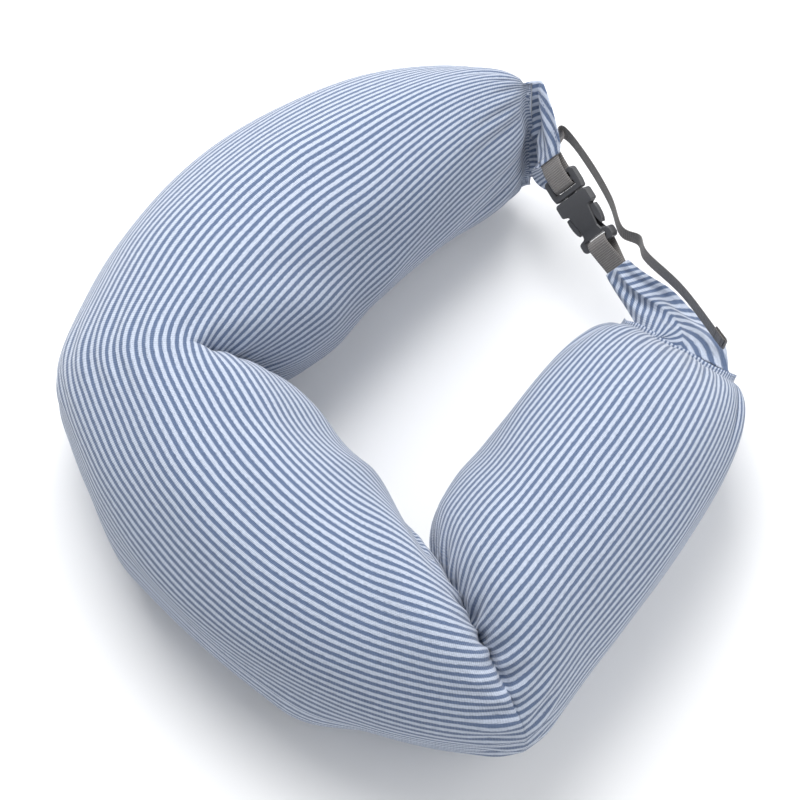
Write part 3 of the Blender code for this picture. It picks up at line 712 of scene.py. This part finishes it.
def swell(points):
    """Cloth under pressure, from a smaller start. Returns the settled points, capped."""
    normals = grid_normals(points)
    start = points - normals * START_INSET
    rings, steps = points.shape[:2]
    around = np.linspace(0, 1, steps + 1)
    mesh = grid_mesh("cloth_pass", start, np.linspace(0, 1, rings), around)
    cloth = bpy.data.objects.new("cloth_pass", mesh)
    bpy.context.scene.collection.objects.link(cloth)
    held = cloth.vertex_groups.new(name="held")
    ends = list(range(2 * steps)) + list(range((rings - 2) * steps, rings * steps))
    held.add(ends, 1.0, "REPLACE")
    modifier = cloth.modifiers.new("cloth", "CLOTH")
    for name, value in CLOTH_SETTINGS.items():
        setattr(modifier.settings, name, value)
    modifier.settings.effector_weights.gravity = 0
    modifier.collision_settings.use_collision = False
    scene = bpy.context.scene
    for number in range(1, CLOTH_FRAMES + 1):
        scene.frame_set(number)
    settled = cloth.evaluated_get(bpy.context.evaluated_depsgraph_get()).to_mesh()
    flat = np.empty(rings * steps * 3, np.float32)
    settled.vertices.foreach_get("co", flat)
    bpy.data.objects.remove(cloth)
    scene.frame_set(1)
    move = flat.reshape(rings, steps, 3).astype(float) - start
    length = np.linalg.norm(move, axis=-1, keepdims=True)
    return start + move * np.minimum(1, SWELL_CAP / np.maximum(length, 1e-9))


def fold_profile(distance, reach):
    """1 at a fold's line, falling to 0 at its reach, as two round cushions meet."""
    near = 1 - np.clip(distance / reach, 0, 1)
    return 1 - np.sqrt(1 - near * near)


def distance_from(points, ring):
    """How far each point lies from a ring, along the cloth, negative before the ring."""
    steps = np.linalg.norm(np.diff(points, axis=0), axis=-1)
    total = np.concatenate([np.zeros((1, points.shape[1])), np.cumsum(steps, axis=0)])
    return total - total[ring]


def bell(value, middle, spread):
    """1 at the middle, falling off smoothly to both sides."""
    return np.exp(-(((value - middle) / spread) ** 2))


def elbow_fold(points, centres, arc, ring, inner, fold):
    """Presses a fold into both sides of an elbow's plane, and bulges the cloth beside it."""
    least, added, onset, reach = fold
    depth = least + added * smoothstep(*onset, inner)
    normal = arc.elbow_normal()
    distance = np.abs(distance_from(points, ring))
    inward = centres - points
    inward = unit(inward - normal * (inward @ normal)[..., None])
    beside = bell(distance, 1.6 * reach, 0.9 * reach)
    move = depth * fold_profile(distance, reach) - FOLD_BULGE * depth * beside
    return points + inward * move[..., None]


def soften_elbow(points, arc, inner):
    """Rounds the outside and top of an elbow, so that the stripes sweep round it."""
    reach = 3 * SOFT_RINGS
    offsets = np.arange(-reach, reach + 1)
    weights = np.exp(-0.5 * (offsets / SOFT_RINGS) ** 2)
    weights /= weights.sum()
    smooth = np.zeros_like(points)
    for offset, weight in zip(offsets, weights):
        smooth += weight * np.roll(points, offset, axis=0)
    away = points - arc.corner
    radius = np.linalg.norm(away[..., :2], axis=-1)
    share = 1 - smoothstep(*SOFT_SIDE, inner)
    share = share * (1 - smoothstep(*SOFT_RADIUS, radius))
    share = share * (1 - smoothstep(*SOFT_FADE, np.abs(away @ arc.elbow_normal())))
    return points + (smooth - points) * share[..., None]


def sculpt_elbows(points, centres, angle):
    """The right elbow is creased from its inner side almost to its corner, the left one less."""
    inner = (1 - np.cos(angle)) / 2
    points = soften_elbow(points, LEFT, inner)
    points = elbow_fold(points, centres, RIGHT, RIGHT_ELBOW_RING, inner, RIGHT_FOLD)
    points = elbow_fold(points, centres, LEFT, LEFT_ELBOW_RING, inner, LEFT_FOLD)
    points = second_fold(points, centres, angle, RIGHT_ELBOW_RING)
    normals = grid_normals(points)
    for ring, height in zip((RIGHT_ELBOW_RING, LEFT_ELBOW_RING), PUCKER_HEIGHTS):
        away = distance_from(points, ring)
        near = bell(np.abs(away), PUCKER_OFFSET, PUCKER_SPREAD)
        pucker = np.sin(27 * angle + 60 * away) + 0.7 * np.sin(17 * angle - 90 * away + 1.3)
        points = points + normals * (height * near * pucker)[..., None]
    return points


def second_fold(points, centres, angle, ring):
    """A shorter, softer fold on the back, beside the right elbow's, at its inner shoulder."""
    line = SECOND_FOLD_OFFSET + SECOND_FOLD_SWAY * np.cos(angle + 2.2)
    away = distance_from(points, ring) - line
    depth = SECOND_FOLD_DEPTH * bell(angle, SECOND_FOLD_ANGLE, SECOND_FOLD_SPREAD)
    dip = bell(away, 0, 0.008) - 0.35 * bell(away, -0.016, 0.011)
    inward = unit(centres - points)
    return points + inward * (depth * dip)[..., None]


def pleats(angle, waves, seed):
    """Soft folds round a section, of uneven width, from -0.7 in their valleys to 0.3."""
    shifted = angle + 0.12 * np.sin(3 * angle + seed) + 0.05 * np.sin(7 * angle + 2.3 * seed)
    return np.abs(np.sin(waves * shifted / 2 + seed)) ** 0.8 - 0.7


def sculpt_ends(points, share, angle):
    """Gathers the cloth into pleats that run out of each end seam."""
    normals = grid_normals(points)
    for side, seed, waves in GATHERS:
        near = share * side
        reach = 0.20 + 0.07 * np.sin(2 * angle + seed) + 0.05 * np.sin(5 * angle + 3 * seed)
        strength = smoothstep(1 - reach, 1 - 0.2 * reach, near)
        strength = strength * (1 - 0.85 * smoothstep(0.94, 1, near))
        height = PLEAT_DEPTH * strength * pleats(angle, waves, seed)
        points = points + normals * height[..., None]
    return points


def ripple(points, share, angle):
    """Faint slack in the cloth: long shallow waves along the tube."""
    normals = grid_normals(points)
    wave = np.sin(5 * angle + 9 * share) * np.sin(31 * share + 2 * np.sin(2 * angle))
    wave += 0.6 * np.sin(8 * angle - 17 * share + 1.0) * np.sin(13 * share + 0.5)
    return points + normals * (RIPPLE_HEIGHT * wave)[..., None]


def meet_zip(points, level):
    """Draws the cloth up to the straight zip, so that the tapes lie on it."""
    away = points - ZIP_MIDDLE
    x, y, z = away @ ZIP_X, away @ ZIP_Y, away @ ZIP_Z
    across = 1 - smoothstep(*ZIP_FADE_ACROSS, np.abs(y))
    along = 1 - smoothstep(*ZIP_FADE_ALONG, np.abs(x))
    close = across * along * smoothstep(*ZIP_FADE_DEPTH, z)
    return points + ZIP_Z * ((level - z) * close)[..., None]


def seam_rings(ring, heading):
    """Rings that close an arm's end to a thin sewn lip, beyond its last ring."""
    middle = ring.mean(0)
    offset = ring - middle
    thin = np.linalg.eigh(offset.T @ offset)[1][:, 1]
    rings = []
    for forward, keep in LIP_RINGS:
        flattened = offset - np.outer(offset @ thin, thin) * (1 - keep)
        rings.append(middle + flattened * (1 - forward) + heading * forward)
    return np.stack(rings)


def neighbours(values, count):
    """The values of the rings up to a count before and after each ring."""
    return [np.roll(values, offset, axis=0) for offset in range(-count, count + 1)]


def folded_room(plain, folded):
    """How deep the cover's folds reach near each point, spread along the tube past their walls."""
    pressed = np.linalg.norm(folded - plain, axis=-1)
    deepest = np.max(neighbours(pressed, ROOM_RINGS), axis=0)
    return np.mean(neighbours(deepest, ROOM_BLUR), axis=0)


def inset(points, centres, depth, room):
    """The layer that lies a little way in from a tube's surface, and clear of the cover's folds."""
    inward = centres - points
    distance = np.linalg.norm(inward, axis=-1)
    layer = points + inward * np.minimum((depth + room) / distance, DEEPEST_INSET)[..., None]
    layer = meet_zip(layer, ZIP_LEVEL - depth)
    layer[..., 2] = np.maximum(layer[..., 2], depth)
    return layer


def build_cushion():
    """Cover, liner and filling, each in two halves that meet in the middle of the back."""
    rows = tube_sections()
    coarse = tube_points(rows)
    coarse[..., 2] = np.maximum(coarse[..., 2], 0)
    coarse = swell(coarse)
    plain = finer(finer(coarse, REFINE, 0, False), REFINE, 1, True)
    rings, steps = plain.shape[:2]
    along = finer(path_lengths(rows[:, :3]), REFINE, 0, False)
    angle = np.broadcast_to(np.arange(steps) * math.tau / steps, (rings, steps))
    arm_share = np.zeros(rings)
    right = slice(None, RIGHT_ELBOW_RING + 1)
    arm_share[right] = -(along[RIGHT_ELBOW_RING] - along[right]) / RIGHT.length
    left = slice(LEFT_ELBOW_RING, None)
    arm_share[left] = (along[left] - along[LEFT_ELBOW_RING]) / LEFT.length
    share = np.broadcast_to(arm_share[:, None], (rings, steps))
    centres = finer(rows[:, :3], REFINE, 0, False)[:, None] + UP * CENTRE_HEIGHT
    points = sculpt_elbows(plain, centres, angle)
    room = folded_room(plain, points)
    layers = [inset(plain, centres, depth, room) for _, depth, _ in INNER_LAYERS]
    points = sculpt_ends(points, share, angle)
    whole = np.broadcast_to((along / along[-1])[:, None], (rings, steps))
    points = ripple(points, whole, angle)
    points = meet_zip(points, ZIP_LEVEL)
    points[..., 2] = np.maximum(points[..., 2], 0)
    left_lip = seam_rings(points[-1], LEFT.heading(LEFT.length))
    right_lip = seam_rings(points[0], RIGHT.heading(RIGHT.length))[::-1]
    points = np.concatenate([right_lip, points, left_lip])
    extra = np.arange(1, len(LIP_RINGS) + 1) * LIP_STEP
    cover_along = np.concatenate([along[0] - extra[::-1], along, along[-1] + extra])
    around = np.arange(steps + 1) * math.tau * TUBE_RADIUS / steps
    split = MIDDLE_RING + len(LIP_RINGS)
    add_halves("cover", points, cover_along, around, split, JERSEY, "jersey")
    finishes = ((LINER, "liner"), (BEADS, "beads"))
    for (name, _, short), layer, finish in zip(INNER_LAYERS, layers, finishes):
        kept = slice(short * REFINE, -short * REFINE, REFINE)
        split = MIDDLE_RING // REFINE - short
        add_halves(name, layer[kept, ::REFINE], along[kept], around[::REFINE], split, *finish)


def add_halves(name, points, along, around, split, *finish):
    """The two halves of one layer, which meet at the split."""
    halves = (
        ("right", slice(None, split + 1), BLEND_RIGHT, "arm_right"),
        ("left", slice(split, None), BLEND_LEFT, "arm_left"),
    )
    normals = grid_normals(points)
    for side, part, (normal, origin, start, end), body in halves:
        own = normals[part] if name == "cover" else None
        piece_name = f"{name}_{side}_half"
        mesh = grid_mesh(piece_name, points[part], along[part], around, own)
        piece = add_piece(piece_name, mesh, *finish)
        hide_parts(f"{name}_back", f"{name}_{side}_arm")
        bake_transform(piece)


# ---- bands: flaps and webbing


def curve_through(points, steps):
    """Points on a smooth curve through the given ones."""
    return finer(np.array(points, float), steps, 0, False)


def even_steps(path, *others, step):
    """Resamples a path, and values that go with it, at an even step."""
    lengths = path_lengths(path)
    wanted = np.linspace(0, lengths[-1], max(2, int(lengths[-1] / step) + 1))
    results = []
    for values in (path, *others):
        columns = [np.interp(wanted, lengths, column) for column in values.T]
        results.append(np.stack(columns, 1))
    return wanted, results


def band_frames(path, across):
    """Unit tangents, width directions and face normals along a band."""
    tangent = unit(np.gradient(path, axis=0))
    side = unit(across - tangent * (across * tangent).sum(1, keepdims=True))
    return tangent, side, np.cross(tangent, side)


def band_mesh(name, path, side, normal, half_width, half_thickness, lift, lengths, weave=None):
    """A closed band. half_width and half_thickness are [ring], and lift is [ring, column]."""
    place = np.linspace(-1, 1, lift.shape[1])
    rounded = np.outer(half_thickness, 1 - np.abs(place) ** EDGE_SQUARENESS * EDGE_THINNING)
    base = path[:, None] + side[:, None] * (half_width[:, None] * place)[..., None]
    upper = base + normal[:, None] * (lift + rounded)[..., None]
    lower = base + normal[:, None] * (lift - rounded)[..., None]
    points = np.concatenate([upper, lower[:, ::-1]], 1)
    mesh = grid_mesh(name, points, lengths, np.zeros(points.shape[1] + 1))
    width_place = np.concatenate([place, place[::-1]])
    v = width_place[None, :] * half_width[:, None]
    u = lengths[:, None] + 0 * v
    if weave:
        u, v = weave(u, v)
    index = np.empty(len(mesh.loops), np.int32)
    mesh.loops.foreach_get("vertex_index", index)
    values = np.stack([u.ravel()[index], v.ravel()[index]], 1).astype(np.float32)
    mesh.uv_layers["cloth"].uv.foreach_set("vector", values.ravel())
    return mesh


def add_webbing(name, points, across, steps, body, nodes):
    """Ribbed webbing through the given points, in steps, with a saw-tooth edge at each rib."""
    path = curve_through(points, steps)
    wide = curve_through(across, steps)
    lengths, (path, wide) = even_steps(path, wide, step=RIB_PITCH / 4)
    tangent, side, normal = band_frames(path, wide)
    rib = 0.5 + 0.5 * np.cos(math.tau * lengths / RIB_PITCH)
    half_width = WEBBING_HALF_WIDTH - RIB_NARROWING * (1 - rib)
    half_thickness = WEBBING_HALF_THICKNESS - RIB_THINNING * (1 - rib)
    cord = np.cos(math.pi * CORDS * np.linspace(-1, 1, WEBBING_COLUMNS))
    lift = np.outer(np.ones(len(path)), cord) * CORD_HEIGHT
    mesh = band_mesh(name, path, side, normal, half_width, half_thickness, lift, lengths)
    piece = add_piece(name, mesh, WEBBING, "webbing")
    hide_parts(*nodes)
    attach(piece, body)
    return path, side, normal, tangent


def strap_point(x, z):
    """A place in the strap's frame."""
    return MOUTH + STRAP_X * x + STRAP_Z * z


def tail_point(along, outward, height):
    """A place by its distance from the left end seam towards the right one, out, and up."""
    return LEFT_END + CHAIN * along + OUTSIDE * outward + UP * height


def add_straps():
    """Adjustable webbing through the male half, with its loose tail, and the fixed webbing."""
    loop = (
        (LEFT_FLAP_TIP - 0.003, SEWN_IN),
        (LEFT_FLAP_TIP + 0.001, SEWN_IN),
        (-0.0185, OVER_LADDER),
        (-0.0085, OVER_LADDER),
        (-0.0062, 0.0024),
        (-0.0060, 0.0),
        (-0.0062, -0.0024),
        (-0.0085, -OVER_LADDER),
        (-0.0185, -OVER_LADDER),
        (-0.0260, -0.0042),
        (-0.0310, -0.0062),
    )
    tail = (
        (0.0135, 0.0150, 0.066),
        (0.0075, 0.0190, 0.066),
        (0.0150, 0.0230, 0.066),
        (0.042, 0.0225, 0.068),
        (0.066, 0.0205, 0.066),
        (0.086, 0.0150, 0.066),
        (0.098, 0.0200, 0.068),
        (0.112, 0.0165, 0.073),
        (0.145, 0.0200, 0.081),
        (0.186, 0.0215, 0.080),
    )
    points = [strap_point(*place) for place in loop] + [tail_point(*place) for place in tail]
    turned = [min(1, (index + 1) / 3) for index in range(len(tail))]
    across = [STRAP_Y] * len(loop) + [STRAP_Y * (1 - t) + UP * t for t in turned]
    adjustable = ("strap_adjustable",)
    end = add_webbing("strap_adjustable_band", points, across, 8, "male_half", adjustable)
    add_tail_hem(*end)
    half = (
        (RIGHT_FLAP_TIP + 0.003, SEWN_IN),
        (RIGHT_FLAP_TIP - 0.001, SEWN_IN + 0.0002),
        (0.0390, OVER_BAR),
        (0.0345, OVER_BAR + 0.0004),
        (0.0318, 0.0034),
    )
    outline = (*half, (0.0312, 0.0), *((x, -z) for x, z in reversed(half)))
    points = [strap_point(*place) for place in outline]
    across = [STRAP_Y] * len(points)
    add_webbing("strap_fixed_band", points, across, 8, "strap_right", ("strap_fixed",))


def add_tail_hem(path, side, normal, tangent):
    """The tail's folded end, with two stitched bars across it."""
    end, across, face, along = path[-1], side[-1], normal[-1], tangent[-1]
    back = face * -(2 * WEBBING_HALF_THICKNESS + 0.0001)
    fold = [end + along * 0.0004, end + along * 0.0012 + back / 2, end + back]
    fold += [end - along * HEM_LENGTH / 2 + back, end - along * HEM_LENGTH + back]
    add_webbing("strap_hem_band", fold, [across] * len(fold), 6, "male_half", ("strap_end_fold",))
    stitches = []
    half = WEBBING_HALF_WIDTH - 0.001
    count = int(2 * half / HEM_STITCH_STEP)
    for row in HEM_ROWS:
        for number in range(count):
            place = end - along * row + across * (half * (2 * (number + 0.5) / count - 1))
            place = place + face * (WEBBING_HALF_THICKNESS + 0.0001)
            stitches.append((place, across, face))
    piece = add_stitches("strap_hem_stitches", stitches, HEM_STITCH, WEBBING, "webbing")
    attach(piece, "male_half")


def add_stitches(name, stitches, size, material, slot):
    """Raised thread stitches, each a short rounded bead: its place, its run and its face."""
    work = bmesh.new()
    for place, run, face in stitches:
        axes = Matrix(np.array([run, np.cross(face, run), face]).T.tolist()).to_4x4()
        turn = Matrix.Translation(Vector(place)) @ axes @ Matrix.Diagonal((*size, 1))
        bmesh.ops.create_icosphere(work, subdivisions=2, radius=1, matrix=turn)
    mesh = bpy.data.meshes.new(name)
    work.to_mesh(mesh)
    work.free()
    mesh.shade_smooth()
    mesh.uv_layers.new(name="cloth")
    return add_piece(name, mesh, material, slot)


def cross_chevron(u, v):
    """Stripes across a flap that meet in a V along its middle."""
    return v, u + 0.55 * np.abs(v)


def long_chevron(u, v):
    """Stripes along a flap that meet in a V at the fold across it."""
    return u, v + 0.75 * np.abs(u - 0.009)


def flap_path(seam, heading, tip, tip_heading):
    """A smooth path from an arm's end to the strap, with its shares of the way as a column."""
    gap = np.linalg.norm(tip - seam)
    u = np.linspace(0, 1, FLAP_RINGS)[:, None]
    leave, reach = seam + heading * gap * FLAP_LEAVE, tip - tip_heading * gap * FLAP_REACH
    path = seam * (1 - u) ** 3 + leave * 3 * u * (1 - u) ** 2
    return u, path + reach * 3 * u**2 * (1 - u) + tip * u**3


def flap_lift(share, place, creases):
    """How far a flap's cloth stands off its path, from its folds, slack and hems."""
    crease = creases[0] * (np.exp(-np.abs(place - 0.1 * share) / 0.30) - 0.35)
    crease = crease + creases[1] * np.exp(-np.abs(share - 0.34) / 0.12)
    wave = FLAP_WAVE * np.sin(2.6 * math.pi * place + 5 * share)
    hem = HEM_HEIGHT * smoothstep(0.84, 0.88, np.abs(place))
    return (crease + wave) * np.sin(share * math.pi) ** 0.8 + hem


def add_flap(name, arc, across, widths, creases, tip_x, tip_heading, bodies, weave):
    """A sewn flap from an arm's end to the strap, creased along its middle, with thick hems."""
    heading = arc.heading(arc.length)
    seam = arc.point(arc.length) + UP * CENTRE_HEIGHT + heading * FLAP_SEAM_GAP
    u, path = flap_path(seam, heading, strap_point(tip_x, 0.0), tip_heading)
    _, side, normal = band_frames(path, across * (1 - u**3) + STRAP_Y * u**3)
    share = u[:, 0]
    base, hold, spread = widths
    narrowing = np.clip((share - hold) / (1 - hold), 0, 1) ** spread
    half_width = (base + (FLAP_TIP_WIDTH - base) * narrowing) / 2
    half_thickness = FLAP_HALF_THICKNESS + FLAP_TIP_PADDING * smoothstep(0.75, 1.0, share)
    lift = flap_lift(u, np.linspace(-1, 1, FLAP_COLUMNS)[None, :], creases)
    lengths = path_lengths(path)
    mesh = band_mesh(name, path, side, normal, half_width, half_thickness, lift, lengths, weave)
    panel = add_piece(name, mesh, JERSEY, "jersey")
    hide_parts(name.replace("_panel", ""))
    stitches = flap_stitches(path, side, normal, half_width, lift)
    thread_name = name.replace("panel", "stitches")
    thread = add_stitches(thread_name, stitches, FLAP_STITCH, THREAD, "jersey")
    for piece in (panel, thread):
        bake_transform(piece)


def flap_stitches(path, side, normal, half_width, lift):
    """Two rows of thread along a flap's hems, on its upper face."""
    stitches = []
    for sign, column in ((-1, HEM_COLUMN), (1, -HEM_COLUMN - 1)):
        edge = path + side * (sign * HEM_PLACE * half_width)[:, None]
        edge = edge + normal * (lift[:, column] + HEM_THREAD_HEIGHT)[:, None]
        _, (line, face) = even_steps(edge, normal, step=FLAP_STITCH_STEP)
        for place, up, next_place in zip(line[2:-3], face[2:-3], line[3:-2]):
            along = unit(next_place - place)
            stitches.append((place, along, np.cross(along, unit(np.cross(up, along)))))
    return stitches


def add_flaps():
    """The left flap stands on edge and narrows late. The right one lies level.

    A shape holds the width at the seam, where it starts to narrow and how fast; the height of
    the crease along the flap and of the fold across it; and where the flap ends on the strap.
    """
    level = RIGHT.outward(RIGHT.length)
    lean = UP * math.cos(LEFT_END_ROLL) - LEFT.outward(LEFT.length) * math.sin(LEFT_END_ROLL)
    bodies = ("arm_left", "strap_left")
    shape = ((0.078, 0.40, 1.0), (0.003, -0.006), LEFT_FLAP_TIP)
    add_flap("flap_left_panel", LEFT, lean, *shape, STRAP_X, bodies, long_chevron)
    bodies = ("arm_right", "strap_right")
    shape = ((0.070, 0.0, 0.55), (-0.006, 0.0), RIGHT_FLAP_TIP)
    add_flap("flap_right_panel", RIGHT, level, *shape, -STRAP_X, bodies, cross_chevron)


# ---- carried-over nodes


def dress_nodes():
    """Gives each CAD node that stays its own finish."""
    finishes = {
        "buckle": PLASTIC,
        "zip_tape": TAPE,
        "zip_teeth": TEETH,
        "zip_stop": METAL,
        "zip_slider": METAL,
        "zip_pull": METAL,
    }
    for name, node in frame["nodes"].items():
        for start, material in finishes.items():
            if name.startswith(start):
                node.data.materials.clear()
                node.data.materials.append(material)


# ---- studio


def add_floor():
    bpy.ops.mesh.primitive_plane_add(size=8, location=(0, -0.1, -0.0005))
    floor = bpy.context.object
    floor.name = "floor"
    material, tree = new_material("studio_floor")
    shade(tree, (0.88, 0.88, 0.885, 1), Roughness=0.9)
    floor.data.materials.append(material)


def add_light(name, place, target, size, power):
    data = bpy.data.lights.new(name, "AREA")
    data.energy = power
    data.size = size
    light = bpy.data.objects.new(name, data)
    bpy.context.scene.collection.objects.link(light)
    light.location = place
    light.rotation_euler = (target - place).to_track_quat("-Z", "Y").to_euler()


def add_camera():
    """A long lens at the given angle, far enough away that the cover fills its share."""
    flat, rise = math.cos(CAMERA_ELEVATION), math.sin(CAMERA_ELEVATION)
    back = Vector((math.sin(CAMERA_AZIMUTH) * flat, -math.cos(CAMERA_AZIMUTH) * flat, rise))
    turn = (-back).to_track_quat("-Z", "Y")
    right, up = turn @ Vector((1, 0, 0)), turn @ Vector((0, 1, 0))
    low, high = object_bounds()
    centre = middle = (low + high) / 2
    covers = [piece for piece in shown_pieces() if piece.name.startswith("cover")]
    extents = []
    for axis in (right, up):
        places = [(v.co - middle).dot(axis) for piece in covers for v in piece.data.vertices]
        centre = centre + axis * (max(places) + min(places)) / 2
        extents.append(max(places) - min(places))
    distance = max(extents) / FRAME_SHARE * CAMERA_LENS / SENSOR_WIDTH
    data = bpy.data.cameras.new("camera")
    data.lens = CAMERA_LENS
    data.sensor_width = SENSOR_WIDTH
    camera = bpy.data.objects.new("camera", data)
    bpy.context.scene.collection.objects.link(camera)
    camera.location = centre + back * distance
    camera.rotation_mode = "QUATERNION"
    camera.rotation_quaternion = turn
    bpy.context.scene.camera = camera
    return back, right, up, Vector(UP)


def add_studio():
    """The camera, three soft lights placed by the camera's directions, a pale sky and a floor."""
    directions = add_camera()
    middle = Vector(STUDIO_MIDDLE)
    for name, (shares, size, power) in LIGHTS.items():
        away = [axis * share for axis, share in zip(directions, shares)]
        add_light(name, sum(away, middle), middle, size, power)
    world = bpy.data.worlds.new("studio")
    world.use_nodes = True
    sky = world.node_tree.nodes["Background"]
    sky.inputs["Color"].default_value = SKY_COLOUR
    sky.inputs["Strength"].default_value = SKY_STRENGTH
    bpy.context.scene.world = world
    bpy.context.scene.view_settings.view_transform = "Standard"
    add_floor()


build_cushion()
add_flaps()
add_straps()
dress_nodes()
add_studio()
